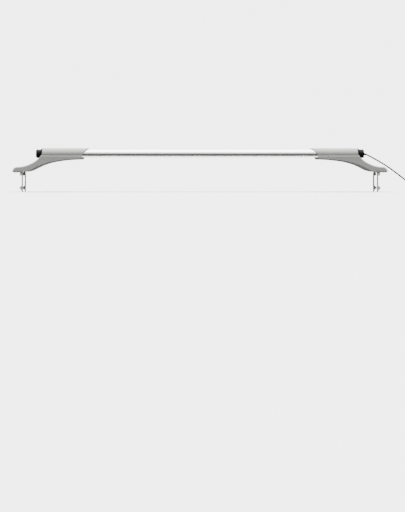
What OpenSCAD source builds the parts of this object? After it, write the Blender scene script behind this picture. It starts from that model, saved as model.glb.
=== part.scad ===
// LED aquarium light: an aluminium light bar carried by two sliding brackets on a tank's side walls.
// Millimetres. X runs along the bar, +Y to the back, +Z up.
// The origin is midway between the feet, at the height of the tank's rim.

/* [Light bar] */
// Length of the light bar over both end caps
bar_len = 800; // [700:10:1100]
// Half the width of the aluminium profile
profile_half = 30; // [29:0.5:31]
// Top of the profile above the rim
profile_top = 56.9; // [56.5:0.1:57.5]
// Bottom of the dark rails that hold the lens, above the rim
rail_bottom = 40; // [39.8:0.1:40.4]
// Length of the black end caps along the bar
cap_len = 15.4; // [14:0.2:15.4]

/* [Brackets] */
// How far each foot's toe stands out past the light bar's end
foot_reach = 57.5; // [50:0.5:57.5]
// Wall thickness of the bracket mouldings
wall = 2.3; // [2:0.1:2.6]
// Gap between the profile and the sleeve that slides on it
slide_gap = 0.3; // [0.2:0.05:0.5]
// Thickness of the rubber pad under each foot
pad_t = 1.5; // [1:0.1:1.5]

/* [Rim clips] */
// How far the clip fingers hang below the rim
finger_drop = 47.5; // [46:0.5:48.5]
// Thickness of a clip finger
finger_t = 2.3; // [1.8:0.1:2.6]
// Width of a clip along the rim
clip_w = 9; // [7:0.5:9]
// Distance of each clip from the bracket's middle
clip_y = 24; // [22:0.5:24]
// How far the barb stands out from the finger
barb_out = 6; // [4:0.5:6]

/* [LED boards] */
// Pitch of the white LEDs along the bar
led_pitch = 12.5; // [10:0.5:20]
// Half the distance between the two white rows
led_row_y = 9; // [8:1:14]

/* [Power lead] */
// Diameter of the power lead
cord_d = 4; // [3.5:0.1:4]
// Outside radius of the DC plug's barrel
barrel_r = 2.75; // [2.75:0.05:2.8]
// Length of the DC plug's metal barrel
barrel_len = 9; // [8:0.5:10]

/* [Hidden] */

// Colours
alu = [0.80, 0.81, 0.82];
bracket_grey = [0.60, 0.61, 0.60];
dark_grey = [0.22, 0.23, 0.23];
black = [0.06, 0.06, 0.06];
steel = [0.72, 0.72, 0.70];
board_white = [0.93, 0.93, 0.90];
smoke = [0.52, 0.54, 0.52];

// Light bar
seal_t = 0.6;
profile_end = bar_len / 2 - cap_len - seal_t;
flat_half = 18;                            // the profile's top is flat this far each side, then rounds down
wall_z = 45.2;                             // bottom of the profile's side walls, where the lens rails begin
web_z = [48, 49.6];                        // underside and top of the web that carries the LED boards
channel_half = profile_half - 3.6;         // half the width of the channel for the boards
port = [22, 51.9];                         // y and z of the extruded screw ports
port_r = 1.2;
rail_tongue = [profile_half - 2.4, profile_half - 1.6];
rail_face = profile_half - 3;              // inner face of the lens rails
lens_bottom = rail_bottom - 2.4;
lens_edge = profile_half - 6.7;            // inner face of the lens's upright edges
tape_t = 0.25;
board_t = 1.6;
board_half = profile_half - 5;
board_gap = 0.5;                           // each board stops this far from the middle of the bar
board_end = profile_end - 8;
board_z = web_z[0] - tape_t - board_t;     // underside of the boards
led = [3.5, 2.8, 0.8];

// Bracket outline, as distance u from the toe and height z above the rim
tip_x = bar_len / 2 + foot_reach;
sleeve_top = profile_top + 2.5;
floor_z = 34.9;                            // top of the sleeve's floor
toe_curve = [[-1.6, pad_t], [0.4, 7], [3.4, 13.8], [13, 13.9]];
instep_curve = [[13, 13.9], [32, 13.9], [56, 23.6], [69.5, 40]];
shoulder_curve = [[69.5, 40], [71, 42], [73, 44.5], [73, 48]];
brow_curve = [[73, 57.4], [73, 58.7], [73.8, sleeve_top], [75.4, sleeve_top]];
mouth_curve = [[185, sleeve_top], [178, 54], [171, 46], [171, 40]];
heel_curve = [[171, 40], [170.6, 36], [170, 32.4], [166, 32.2]];
belly_curve = [[166, 32.2], [120, 31], [90, 26], [67, 15.8]];
arch_curve = [[67, 15.8], [52, 9.2], [44, pad_t], [24, pad_t]];
cavity_u = [34, 126];                      // the arm is hollow between these
ceiling_z = 32.4;
screw_u = 66;                              // the arm cover's two screws, side by side
screw_y = [-16, 16];
bracket_half = profile_half + 2.7;
toe_half = bracket_half - 1.9;              // the foot narrows to this

// Rim clips
pivot = [21.9, 5.6];                       // u and z of a clip's round head
head_r = 3;
block = [[18.6, -7.5], [25.2, 1]];         // the clip's shoulder under the foot, as (u, z) corners
finger_u = [25.2 - finger_t, 25.2];
barb_z = [3.3 - finger_drop, 9.8 - finger_drop, 16.2 - finger_drop];
socket_gap = 0.08;

// Power lead: from the gland past the foot and down onto the coil, then the tail from the coil to the plug.
// Points are [x past the bar's end, y, z], and the tail's z is above the surface that the lead lies on.
cord_r = cord_d / 2;
floor_level = -finger_drop;
bar_end = [bar_len / 2, 0, 0];
bar_end_floor = [bar_len / 2, 0, floor_level];
gland_z = 46.6;
gland_tilt = 14;
gland_len = 9.2;
lead_route = [
  [10.2, 0, 44.4], [15, 0, 42.2], [24, 0, 37.6], [34, 0, 32], [44, 0, 26.3], [54, 0, 20.3],
  [64, 0, 13.7], [73, 0, 7.4], [82, 0, 0.8], [92, 0, -6.9], [101, 0, -13.9], [110, 0, -20.4],
  [119, 0, -26], [127.5, 0, -30.2], [135.5, -0.1, -32.3], [142.5, -0.2, -33]
];
tail_route = [[174.2, 26, 2.9], [174.4, 32, 2.5], [175.2, 38, 2.4], [176.2, 44, 3.9], [176.6, 50, 5.2]];
plug_tip = bar_end_floor + [176.6, 91, 5.2];
plug_r = 5.2;
coil_c = bar_end_floor + [148, 26, 0];
coil_r = [16.2, 28.2];
coil_z = [0.7, 16.7];                      // above the surface

// Point t of the cubic Bezier curve c
function bez(c, t) =
  pow(1 - t, 3) * c[0] + 3 * t * pow(1 - t, 2) * c[1] + 3 * t * t * (1 - t) * c[2] + pow(t, 3) * c[3];

// n points along the curve, without its first, so that curves chain with no repeated point
function along(c, n) = [for (i = [1:n]) bez(c, i / n)];

// Both halves of an outline that is the same on each side of y = 0
function both(half_points) = concat(
  half_points, [for (i = [len(half_points) - 1:-1:0]) [-half_points[i][0], half_points[i][1]]]
);

// The profile's outside, as (y, z), grown by g
function shoulder(g) = along([
  [flat_half, profile_top + g], [profile_half - 5.5 + g / 2, profile_top + g],
  [profile_half + g, profile_top - 4.9 + g / 2], [profile_half + g, wall_z]
], 12);
function profile_outside(g) = both(concat([[flat_half, profile_top + g]], shoulder(g)));

// The bracket's side view, as (u, z)
bracket_side = concat(
  [toe_curve[0]], along(toe_curve, 6), along(instep_curve, 12), along(shoulder_curve, 5),
  [brow_curve[0]], along(brow_curve, 5),
  [mouth_curve[0]], along(mouth_curve, 6), along(heel_curve, 4), along(belly_curve, 12), along(arch_curve, 10)
);

// Extrudes an (x, z) outline along Y, and a (y, z) outline along X
module across(half) rotate([90, 0, 0]) linear_extrude(2 * half, center = true) children();
module lengthwise(x0, x1) translate([x0, 0, 0]) rotate([90, 0, 90]) linear_extrude(x1 - x0) children();

// Puts a (u, z) outline on the right-hand bracket
module from_toe() translate([tip_x, 0]) mirror([1, 0]) children();

// Draws on the right-hand side, or mirrored on the left
module side(s) {
  if (s > 0) children();
  else mirror([1, 0, 0]) children();
}

// A round tube of 8 sides that follows points
function unit(v) = v / norm(v);
function tangent(p, i) = unit(p[min(i + 1, len(p) - 1)] - p[max(i - 1, 0)]);
function ring(c, t, r, sides) =
  let (a = unit(cross(abs(t[2]) > 0.9 ? [1, 0, 0] : [0, 0, 1], t)), b = cross(t, a))
  [for (k = [0:sides - 1]) c + r * (cos(360 * k / sides) * a + sin(360 * k / sides) * b)];
module tube(p, r, sides = 8) {
  n = len(p);
  points = [for (i = [0:n - 1]) each ring(p[i], tangent(p, i), r, sides)];
  walls = [for (i = [0:n - 2]) for (k = [0:sides - 1])
    [i * sides + k, (i + 1) * sides + k, (i + 1) * sides + (k + 1) % sides, i * sides + (k + 1) % sides]];
  polyhedron(points, concat(
    [[for (k = [0:sides - 1]) k]], walls, [[for (k = [sides - 1:-1:0]) (n - 1) * sides + k]]
  ), convexity = 4);
}

// ---- Light bar ----

// Aluminium extrusion: a flat chamber above the web, and a channel below it for the LED boards
module housing_profile() color(alu)
  lengthwise(-profile_end, profile_end) difference() {
    polygon(profile_outside(0));
    // chamber between the screw ports
    translate([-flat_half, web_z[1]]) square([2 * flat_half, profile_top - 1.8 - web_z[1]]);
    // LED channel
    translate([-channel_half, wall_z - 1]) square([2 * channel_half, web_z[0] - wall_z + 1]);
    // grooves for the lens rails' tongues
    for (s = [-1, 1]) translate([s * (rail_tongue[0] + rail_tongue[1]) / 2, wall_z])
      square([rail_tongue[1] - rail_tongue[0] + 0.1, 4.2], center = true);
    for (s = [-1, 1]) translate([s * port[0], port[1]]) circle(port_r, $fn = 32);
  }

// Dark rails along both lower edges: a tongue in the profile, a leaning face and a ledge under the lens
module lens_rails() color(dark_grey)
  for (s = [0, 1]) lengthwise(-profile_end, profile_end) mirror([s, 0]) polygon([
    [profile_half - 0.5, wall_z], [profile_half - 1.5, rail_bottom + 0.4], [profile_half - 1.9, rail_bottom],
    [rail_face - 2, rail_bottom], [rail_face - 2, rail_bottom + 1.2], [rail_face, rail_bottom + 1.2],
    [rail_face, wall_z], [rail_tongue[0], wall_z], [rail_tongue[0], wall_z + 2],
    [rail_tongue[1], wall_z + 2], [rail_tongue[1], wall_z]
  ]);

// Polycarbonate lens: a shallow tray whose edges lie on the rails' ledges
module lens_cover() color([0.92, 0.95, 0.96, 0.5])
  lengthwise(-profile_end + 0.5, profile_end - 0.5)
    polygon(both([
      [0, lens_bottom + 1.7], [lens_edge - 0.3, lens_bottom + 1.7], [lens_edge, lens_bottom + 2.6],
      [lens_edge, rail_bottom + 2.9], [rail_face - 0.2, rail_bottom + 2.9],
      [rail_face - 0.2, rail_bottom + 1.3], [rail_face - 2.2, rail_bottom + 1.3],
      [rail_face - 2.2, lens_bottom + 1.8], [lens_edge + 0.1, lens_bottom], [0, lens_bottom]
    ]));

// Aluminium-core LED boards, left and right halves
module led_board(s) side(s) color(board_white)
  difference() {
    translate([board_gap, -board_half, board_z]) cube([board_end - board_gap, 2 * board_half, board_t]);
    for (x = [board_end - 14, board_gap + 14]) translate([x, 0, board_z - 1])
      cylinder(h = 4, r = 1.6, $fn = 24);
  }

// Heat-conducting tape that sticks the boards to the web
module thermal_tape() color([0.75, 0.78, 0.86])
  for (s = [-1, 1]) side(s)
    translate([board_gap + 1, 2 - board_half, web_z[0] - tape_t])
      cube([board_end - board_gap - 2, 2 * board_half - 4, tape_t]);

module led_at(x, y) translate([x - led[0] / 2, y - led[1] / 2, board_z - led[2]]) cube(led);

// Two rows of white LEDs, and one row of coloured LEDs between them at twice the pitch
module white_leds() color([0.98, 0.96, 0.80])
  for (s = [-1, 1]) for (x = [led_pitch / 2 + 6:led_pitch:board_end - 5]) for (y = [-led_row_y, led_row_y])
    led_at(s * x, y);
module plant_leds() color([0.95, 0.55, 0.60])
  for (s = [-1, 1]) for (x = [led_pitch + 6:2 * led_pitch:board_end - 20]) led_at(s * x, 0);

// Current-limiting resistors beside the coloured row
module board_resistors() color([0.12, 0.12, 0.13])
  for (s = [-1, 1]) for (x = [2 * led_pitch + 6:4 * led_pitch:board_end - 30])
    translate([s * x - 1.6, 16, board_z - 0.6]) cube([3.2, 1.6, 0.6]);

// Plug-in link that carries current from one board to the other
module board_link() color([0.96, 0.96, 0.94])
  translate([-6, -21, board_z - 2.6]) cube([12, 7, 2.6]);

// The two leads from the gland to the right-hand board's pads
module inner_lead(y) {
  gland_in = bar_len / 2 - 6;
  tube([
    [gland_in, y, gland_z - 0.6], [gland_in - 6, y, gland_z - 0.8], [gland_in - 11, y * 1.3, 45.6],
    [gland_in - 16, y * 2, 44.8], [gland_in - 20, y * 2.4, 44.9], [gland_in - 24, y * 2.6, board_z - 0.85]
  ], 0.75, 10);
}
module inner_lead_red() color("firebrick") inner_lead(-1.1);
module inner_lead_black() color(black) inner_lead(1.1);

// Silicone seal between a cap and the profile's end
module end_seal(s) side(s) color(dark_grey)
  lengthwise(profile_end, profile_end + seal_t) difference() {
    union() {
      polygon(profile_outside(-0.3));
      translate([2 - profile_half, rail_bottom + 0.3])
        square([2 * profile_half - 4, wall_z - rail_bottom + 1]);
    }
    // windows for the cap's two plugs
    translate([-flat_half, 50]) square([2 * flat_half, 4.8]);
    translate([4 - profile_half, 43.4]) square([2 * profile_half - 8, 4.4]);
    for (k = [-1, 1]) translate([k * port[0], port[1]]) circle(1.5, $fn = 32);
  }

// End cap: a block that closes the bar, with a raised lip beside the sleeve and two plugs into the profile
cap_x0 = profile_end + seal_t;
cap_x1 = bar_len / 2;
head_depth = 3.4;                          // how deep the cap's screw heads sit
cap_side = concat(
  [[cap_x0, 36.2], [cap_x1 - 3, 35.4]],
  along([[cap_x1 - 3, 35.4], [cap_x1 - 1, 35.4], [cap_x1, 36.6], [cap_x1, 38.5]], 4),
  [[cap_x1, 54.4]],
  along([[cap_x1, 54.4], [cap_x1, 56.2], [cap_x1 - 0.6, 56.9], [cap_x1 - 2, 56.8]], 4),
  along([[cap_x1 - 2, 56.8], [cap_x1 - 8, 55.8], [cap_x0 + 4.4, 56.8], [cap_x0 + 2.4, 59]], 8),
  [[cap_x0, 59]]
);
cap_section = both(concat(
  [[17, 59.2]], along([[17, 59.2], [26, 58.6], [profile_half + 0.1, 53], [profile_half + 0.1, 46]], 10),
  along([[profile_half + 0.1, 46], [profile_half, 40], [28.6, 35.2], [25, 35.2]], 6)
));
module cap_plug(depth, half, z)
  translate([profile_end - depth, -half, z[0]]) cube([depth + seal_t + 1, 2 * half, z[1] - z[0]]);
module end_cap(s) side(s) color(black)
  difference() {
    union() {
      intersection() {
        across(40) polygon(cap_side);
        lengthwise(cap_x0, cap_x1 + 1) polygon(cap_section);
      }
      cap_plug(5, flat_half - 0.3, [50.1, 54.7]);
      cap_plug(4, profile_half - 4.2, [43.5, 47.7]);
    }
    for (k = [-1, 1]) translate([profile_end - 6, k * port[0], port[1]]) rotate([0, 90, 0]) {
      cylinder(h = 40, r = 1.4, $fn = 32);
      translate([0, 0, cap_x1 - head_depth - profile_end + 6]) cylinder(h = 10, r = 2.5, $fn = 40);
    }
    if (s > 0) translate([profile_end - 6, 0, gland_z]) rotate([0, 90, 0]) {
      cylinder(h = 40, r = 2.9, $fn = 32);
      translate([0, 0, cap_x1 - 6 - profile_end + 6]) cylinder(h = 10, r = 3.4, $fn = 40);
    }
    // the channel side of the cap is open round the leads
    translate([profile_end - 5, -5, 42]) cube([6, 10, 7]);
  }

// Two pan-head screws in the cap's counterbores, running into the profile's ports
module cap_screws(s) side(s) color(steel)
  for (k = [-1, 1]) translate([0, k * port[0], port[1]]) rotate([0, 90, 0]) difference() {
    union() {
      translate([0, 0, profile_end - 12])
        cylinder(h = cap_x1 - head_depth - profile_end + 12, r = 1.15, $fn = 32);
      translate([0, 0, cap_x1 - head_depth]) cylinder(h = 1.8, r = 2.2, $fn = 40);
    }
    for (a = [0, 90]) rotate([0, 0, a]) translate([-1.4, -0.3, cap_x1 - 2.5]) cube([2.8, 0.6, 3]);
  }

// Rubber gland: a plug in the cap, a flange on its face and a short tapered boot that turns the lead down
module cable_gland() color(black) {
  translate([cap_x1 - 5.9, 0, gland_z]) rotate([0, 90, 0]) cylinder(h = 5.9 + 0.8, r = 3.3, $fn = 40);
  translate([cap_x1, 0, gland_z]) rotate([0, 90, 0]) cylinder(h = 1.4, r = 4.3, $fn = 40);
  translate([cap_x1 + 1.4, 0, gland_z]) rotate([0, 90 + gland_tilt, 0])
    cylinder(h = gland_len, r1 = 3.6, r2 = 2.5, $fn = 40);
}

// ---- Power lead ----

module power_cord() color(black) translate(bar_end) tube(lead_route, cord_r);
module cord_tail() color(black) translate(bar_end_floor) tube(tail_route, cord_r);

// The stored length, wound into one neat coil that lies on the surface
module cord_coil() color(black) translate(coil_c)
  rotate_extrude($fn = 72) polygon([
    [coil_r[0] + 1.5, coil_z[0]], [coil_r[1] - 1.5, coil_z[0]], [coil_r[1], coil_z[0] + 1.5],
    [coil_r[1], coil_z[1] - 1.5], [coil_r[1] - 1.5, coil_z[1]], [coil_r[0] + 1.5, coil_z[1]],
    [coil_r[0], coil_z[1] - 1.5], [coil_r[0], coil_z[0] + 1.5]
  ]);

// Strap round the coil's turns
module cord_tie() color(dark_grey) translate(coil_c) rotate([0, 0, 80])
  rotate_extrude(angle = 20, $fn = 72) difference() {
    translate([coil_r[0] - 0.9, 0]) square([coil_r[1] - coil_r[0] + 1.8, coil_z[1] + 0.9]);
    translate([coil_r[0] - 0.1, coil_z[0] - 0.1])
      square([coil_r[1] - coil_r[0] + 0.2, coil_z[1] - coil_z[0] + 0.2]);
  }

// DC barrel plug, lying beside the coil and pointing back
module along_plug() translate(plug_tip) rotate([90, 0, 0]) children();
plug_len = plug_tip[1] - tail_route[4][1];
plug_grip = 18;                            // length of the plug's straight body, before its strain relief
module plug_body() color(black) along_plug() difference() {
  union() {
    translate([0, 0, barrel_len]) cylinder(h = plug_grip, r = plug_r, $fn = 48);
    translate([0, 0, barrel_len + plug_grip])
      cylinder(h = plug_len - barrel_len - plug_grip, r1 = 4, r2 = 2.5, $fn = 48);
  }
  translate([0, 0, barrel_len - 1]) cylinder(h = 4, r = barrel_r - 0.15, $fn = 48);
}
module plug_barrel() color(steel) along_plug() difference() {
  union() {
    cylinder(h = barrel_len, r = barrel_r, $fn = 48);
    cylinder(h = barrel_len + 2.9, r = barrel_r - 0.2, $fn = 48);
  }
  translate([0, 0, -1]) cylinder(h = barrel_len + 1.9, r = 2.1, $fn = 48);
}
module plug_insulator() color([0.85, 0.78, 0.25]) along_plug() difference() {
  cylinder(h = barrel_len + 0.8, r = 2.05, $fn = 48);
  translate([0, 0, -1]) cylinder(h = barrel_len + 0.8, r = 1.05, $fn = 32);
}

// ---- Brackets ----

// Outline of a bracket from above, as (u, y), drawn in by d
function plan_half(d) = [for (p = concat(
    [[230, bracket_half + 1]],
    along([[110, bracket_half + 1], [70, bracket_half + 1], [50, toe_half + 0.7], [24, toe_half]], 6),
    along([[24, toe_half], [2, toe_half - 0.2], [-2.5, toe_half - 2], [-2.5, 20]], 8)
  )) [p[0] + d, p[1] - d]];
function reversed(p) = [for (i = [len(p) - 1:-1:0]) p[i]];
module plan_solid(d) translate([0, 0, -5]) linear_extrude(90) from_toe()
  polygon(concat(plan_half(d), reversed([for (p = plan_half(d)) [p[0], -p[1]]])));

// Section of a bracket, as (y, z): a rounded shoulder, a tuck, and a crease where the arm begins
bracket_section = both(concat(
  [[flat_half, sleeve_top]],
  along([
    [flat_half, sleeve_top], [bracket_half - 6.7, sleeve_top], [bracket_half - 0.1, sleeve_top - 6.4],
    [bracket_half - 0.1, 45]
  ], 12),
  [[bracket_half - 0.7, 42], [bracket_half - 0.6, 40.6], [bracket_half, 39.4], [bracket_half - 0.3, 30],
   [bracket_half - 0.3, -5]]
));

// n + 1 points between fractions t0 and t1 of a curve that rises to the right, moved d inside it
function inset(c, d, t0, t1, n) = [for (i = [0:n])
  let (t = t0 + (t1 - t0) * i / n, v = unit(bez(c, t + 0.01) - bez(c, t))) bez(c, t) + d * [v[1], -v[0]]];

// The hollow under the arm: below the sleeve's floor and behind the instep
instep_inside = inset(instep_curve, wall, 0.42, 0.86, 7);
cavity_side = concat(
  [[cavity_u[0], -5], [cavity_u[0], instep_inside[0][1]]], instep_inside,
  [[instep_inside[7][0] + 1, ceiling_z], [cavity_u[1], ceiling_z], [cavity_u[1], -5]]
);

// Height of the arm's underside at u, read off the two curves
function lookup_z(c, u) = let (n = 24) lookup(u, [for (i = [n:-1:0]) bez(c, i / n)]);
function under_z(u) = u > 67 ? lookup_z(belly_curve, u) : lookup_z(arch_curve, u);

// Places things h above the arm's underside on a screw's axis
module at_screw(y, h) translate([tip_x - screw_u, y, under_z(screw_u) + h]) children();

module bracket(s) side(s) color(bracket_grey)
  difference() {
    intersection() {
      across(40) from_toe() polygon(bracket_side);
      lengthwise(tip_x - 190, tip_x + 2) polygon(bracket_section);
      plan_solid(0);
    }
    // bore for the profile and lens, open at both ends
    lengthwise(tip_x - 200, tip_x - 50) polygon(both(concat(
      [[flat_half, profile_top + slide_gap]], shoulder(slide_gap), [[profile_half + slide_gap, floor_z]]
    )));
    // hollow of the arm, less the two bosses for the cover's screws
    difference() {
      intersection() {
        across(40) from_toe() polygon(cavity_side);
        plan_solid(wall);
        translate([tip_x - 200, wall - bracket_half, -10])
          cube([220, 2 * (bracket_half - wall), 100]);
      }
      for (y = screw_y) at_screw(y, 5.2) cylinder(h = 60, r = 4, $fn = 32);
    }
    for (y = screw_y) at_screw(y, 0) cylinder(h = 13, r = 1.25, $fn = 24);
    // round sockets for the two clips, open below
    for (k = [-1, 1]) translate([tip_x - pivot[0], k * clip_y, 0]) {
      translate([0, 0, pivot[1]]) rotate([90, 0, 0])
        cylinder(h = clip_w + 0.4, r = head_r + socket_gap, center = true, $fn = 48);
      translate([-2.1, -clip_w / 2 - 0.2, -1]) cube([4.2, clip_w + 0.4, pivot[1] + 1]);
    }
  }

// Plate that closes the arm's hollow underside, set a little inside its edges
cover_rise = 0.5;
cover_t = 1.8;
function cover_line(dz) = concat(
  [for (u = [cavity_u[1] - 0.3:-6:cavity_u[0] + 0.3]) [u, under_z(u) + dz]],
  [[cavity_u[0] + 0.3, under_z(cavity_u[0] + 0.3) + dz]]
);
module arm_cover(s) side(s) color(bracket_grey) difference() {
  intersection() {
    union() {
      across(40) from_toe() polygon(concat(cover_line(cover_rise), reversed(cover_line(cover_rise + cover_t))));
      for (y = screw_y) at_screw(y, cover_rise + 0.9) cylinder(h = 3.4, r = 4, $fn = 32);
    }
    plan_solid(wall + 0.2);
    translate([tip_x - 200, wall + 0.2 - bracket_half, -10])
      cube([220, 2 * (bracket_half - wall - 0.2), 100]);
  }
  for (y = screw_y) at_screw(y, -10) {
    cylinder(h = 60, r = 1.5, $fn = 24);
    cylinder(h = 12.9, r = 2.9, $fn = 32);
  }
}

// Screws that hold the cover to the arm's bosses
module cover_screws(s) side(s) color(steel)
  for (y = screw_y) at_screw(y, 1.2) difference() {
    union() {
      cylinder(h = 1.6, r = 2.6, $fn = 40);
      cylinder(h = 10, r = 1.2, $fn = 24);
    }
    for (a = [0, 90]) rotate([0, 0, a]) translate([-1.6, -0.35, -1]) cube([3.2, 0.7, 1.8]);
  }

// Strips under the lens rails that carry the bar in the sleeve and hold it by friction
module slide_pads(s) side(s) color(dark_grey)
  for (k = [-1, 1]) translate([tip_x - 164, k * (profile_half - 1.55) - 1.65, floor_z])
    cube([84, 3.3, rail_bottom - floor_z - 0.25]);

// Rubber pad under the toe, where the foot stands on the glass
module foot_pad(s) side(s) color(dark_grey)
  intersection() {
    translate([tip_x - 17.5, -40, 0]) cube([15.5, 80, pad_t]);
    plan_solid(1.4);
  }

// Clip with a round head in the foot, a shoulder below it, and a barbed finger that hangs inside the tank
module rim_clip(s, k) side(s) color(smoke) translate([0, k * clip_y, 0]) {
  translate([tip_x - pivot[0], 0, pivot[1]]) rotate([90, 0, 0])
    cylinder(h = clip_w, r = head_r, center = true, $fn = 48);
  translate([tip_x - pivot[0] - 1.3, -clip_w / 2, 0]) cube([2.6, clip_w, pivot[1]]);
  across(clip_w / 2) from_toe() polygon([
    [block[0][0] + 0.6, block[1][1]], [block[1][0], block[1][1]], [block[1][0], -finger_drop + 1.2],
    [block[1][0] - 0.6, -finger_drop], [finger_u[0] + 0.5, -finger_drop],
    [finger_u[0], barb_z[0]], [finger_u[0] - barb_out + 0.5, barb_z[1] - 0.9],
    [finger_u[0] - barb_out, barb_z[1]], [finger_u[0] - barb_out + 0.5, barb_z[1] + 0.9],
    [finger_u[0], barb_z[2]], [finger_u[0], block[0][1] - 1.2], [finger_u[0] - 1.2, block[0][1]],
    [block[0][0] + 0.6, block[0][1]], [block[0][0], block[0][1] + 0.6], [block[0][0], block[1][1] - 0.6]
  ]);
}

housing_profile();
lens_rails();
lens_cover();
led_board(-1);  // led_board_left
led_board(1);  // led_board_right
thermal_tape();
white_leds();
plant_leds();
board_resistors();
board_link();
inner_lead_red();
inner_lead_black();
end_cap(-1);  // end_cap_left
end_cap(1);  // end_cap_right
end_seal(-1);  // end_seal_left
end_seal(1);  // end_seal_right
cap_screws(-1);  // cap_screws_left
cap_screws(1);  // cap_screws_right
cable_gland();
power_cord();
cord_coil();
cord_tail();
cord_tie();
plug_body();
plug_barrel();
plug_insulator();
bracket(-1);  // bracket_left
arm_cover(-1);  // arm_cover_left
cover_screws(-1);  // cover_screws_left
slide_pads(-1);  // slide_pads_left
foot_pad(-1);  // foot_pad_left
rim_clip(-1, -1);  // rim_clip_left_front
rim_clip(-1, 1);  // rim_clip_left_rear
bracket(1);  // bracket_right
arm_cover(1);  // arm_cover_right
cover_screws(1);  // cover_screws_right
slide_pads(1);  // slide_pads_right
foot_pad(1);  // foot_pad_right
rim_clip(1, -1);  // rim_clip_right_front
rim_clip(1, 1);  // rim_clip_right_rear
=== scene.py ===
"""LED aquarium light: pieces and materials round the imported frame. Outlines are in millimetres."""
import math
import bmesh
import bpy
from mathutils import Matrix, Vector


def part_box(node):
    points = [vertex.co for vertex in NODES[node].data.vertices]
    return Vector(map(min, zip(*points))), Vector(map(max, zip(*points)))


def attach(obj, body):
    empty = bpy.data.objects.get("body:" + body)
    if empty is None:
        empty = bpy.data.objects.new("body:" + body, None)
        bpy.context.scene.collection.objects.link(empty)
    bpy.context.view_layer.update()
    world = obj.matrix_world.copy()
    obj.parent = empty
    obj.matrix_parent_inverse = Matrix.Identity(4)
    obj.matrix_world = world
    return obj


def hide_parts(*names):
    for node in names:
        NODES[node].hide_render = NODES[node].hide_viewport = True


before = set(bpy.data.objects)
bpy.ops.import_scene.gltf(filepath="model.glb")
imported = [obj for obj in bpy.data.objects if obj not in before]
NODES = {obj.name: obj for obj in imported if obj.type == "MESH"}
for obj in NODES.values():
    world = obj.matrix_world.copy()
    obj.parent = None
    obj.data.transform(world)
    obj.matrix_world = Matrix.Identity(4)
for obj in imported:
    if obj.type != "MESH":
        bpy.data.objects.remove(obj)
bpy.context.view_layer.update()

MM = 0.001
SIDES = ("left", "right")

# ---------------------------------------------------------------- places, read from the frame

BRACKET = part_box("bracket_right")
TOE_TIP = -1.6           # the toe's foremost point, in the distances u that the bracket's outlines use
TIP_X = BRACKET[1].x / MM + TOE_TIP
SLEEVE_TOP = BRACKET[1].z / MM
BRACKET_HALF = BRACKET[1].y / MM
PAD_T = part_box("foot_pad_right")[1].z / MM
FLOOR_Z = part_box("rim_clip_right_front")[0].z / MM
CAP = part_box("end_cap_right")
BAR_END = CAP[1].x / MM
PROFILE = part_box("housing_profile")
PROFILE_END = PROFILE[1].x / MM
PROFILE_HALF = PROFILE[1].y / MM
PROFILE_TOP = PROFILE[1].z / MM
WALL_Z = PROFILE[0].z / MM
GLAND_Z = 46.6           # height of the gland's axis, as in part.scad

# ---------------------------------------------------------------- camera

CAMERA_BACK = 2.395      # from the brackets' front faces
CAMERA_SIDE = -0.056
CAMERA_LENS = 69.258
CAMERA_SHIFT = (0.0498, -0.1631)


def link(piece):
    bpy.context.scene.collection.objects.link(piece)
    return piece


def make_camera():
    data = bpy.data.cameras.new("camera")
    camera = link(bpy.data.objects.new("camera", data))
    camera.location = (CAMERA_SIDE, -BRACKET_HALF * MM - CAMERA_BACK, 0)
    camera.rotation_euler = (math.pi / 2, 0, 0)
    data.sensor_width = 36
    data.lens = CAMERA_LENS
    data.shift_x, data.shift_y = CAMERA_SHIFT
    data.clip_start = 0.05
    bpy.context.scene.camera = camera


make_camera()

# ---------------------------------------------------------------- curves and meshes


def bezier(c, t):
    return tuple(
        (1 - t) ** 3 * a + 3 * t * (1 - t) ** 2 * b + 3 * t * t * (1 - t) * d + t ** 3 * e
        for a, b, d, e in zip(*c)
    )


def along(c, n):
    """n points on a cubic Bezier curve, without its first."""
    return [bezier(c, i / n) for i in range(1, n + 1)]


def smoothstep(t):
    t = min(max(t, 0), 1)
    return t * t * (3 - 2 * t)


def mix(a, b, t):
    return tuple(p + (q - p) * t for p, q in zip(a, b))


def catmull(points, n):
    """A smooth line through points, n steps between each two."""
    p = [Vector(q) for q in points]
    p = [2 * p[0] - p[1]] + p + [2 * p[-1] - p[-2]]
    out = []
    for i in range(1, len(p) - 2):
        for k in range(n):
            t = k / n
            out.append(0.5 * (2 * p[i] + (p[i + 1] - p[i - 1]) * t
                              + (2 * p[i - 1] - 5 * p[i] + 4 * p[i + 1] - p[i + 2]) * t * t
                              + (3 * p[i] - p[i - 1] - 3 * p[i + 1] + p[i + 2]) * t ** 3))
    return out + [p[-2]]


def lookup(points, x):
    """The second number at x on a line of points whose first number rises."""
    for (x0, y0), (x1, y1) in zip(points, points[1:]):
        if x <= x1:
            return y0 + (y1 - y0) * (max(x, x0) - x0) / max(x1 - x0, 1e-9)
    return points[-1][1]


def both(half):
    """Both halves of an outline that is the same on each side of 0."""
    return half + [(-a, b) for a, b in reversed(half)]


def round_over(r, d):
    """How far a rounded edge of radius r falls away at distance d from the corner."""
    return 0 if d >= r else r - math.sqrt(r * r - (r - d) ** 2)


def mesh_object(name, verts, faces):
    """A mesh from points in millimetres, with touching points joined and normals outwards."""
    mesh = bpy.data.meshes.new(name)
    mesh.from_pydata([Vector(v) * MM for v in verts], [], faces)
    piece = link(bpy.data.objects.new(name, mesh))
    clean(piece)
    return piece


def clean(piece):
    bm = bmesh.new()
    bm.from_mesh(piece.data)
    bmesh.ops.remove_doubles(bm, verts=bm.verts, dist=2e-6)
    bmesh.ops.dissolve_degenerate(bm, edges=bm.edges, dist=1e-6)
    bmesh.ops.recalc_face_normals(bm, faces=bm.faces)
    bm.to_mesh(piece.data)
    bm.free()


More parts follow.
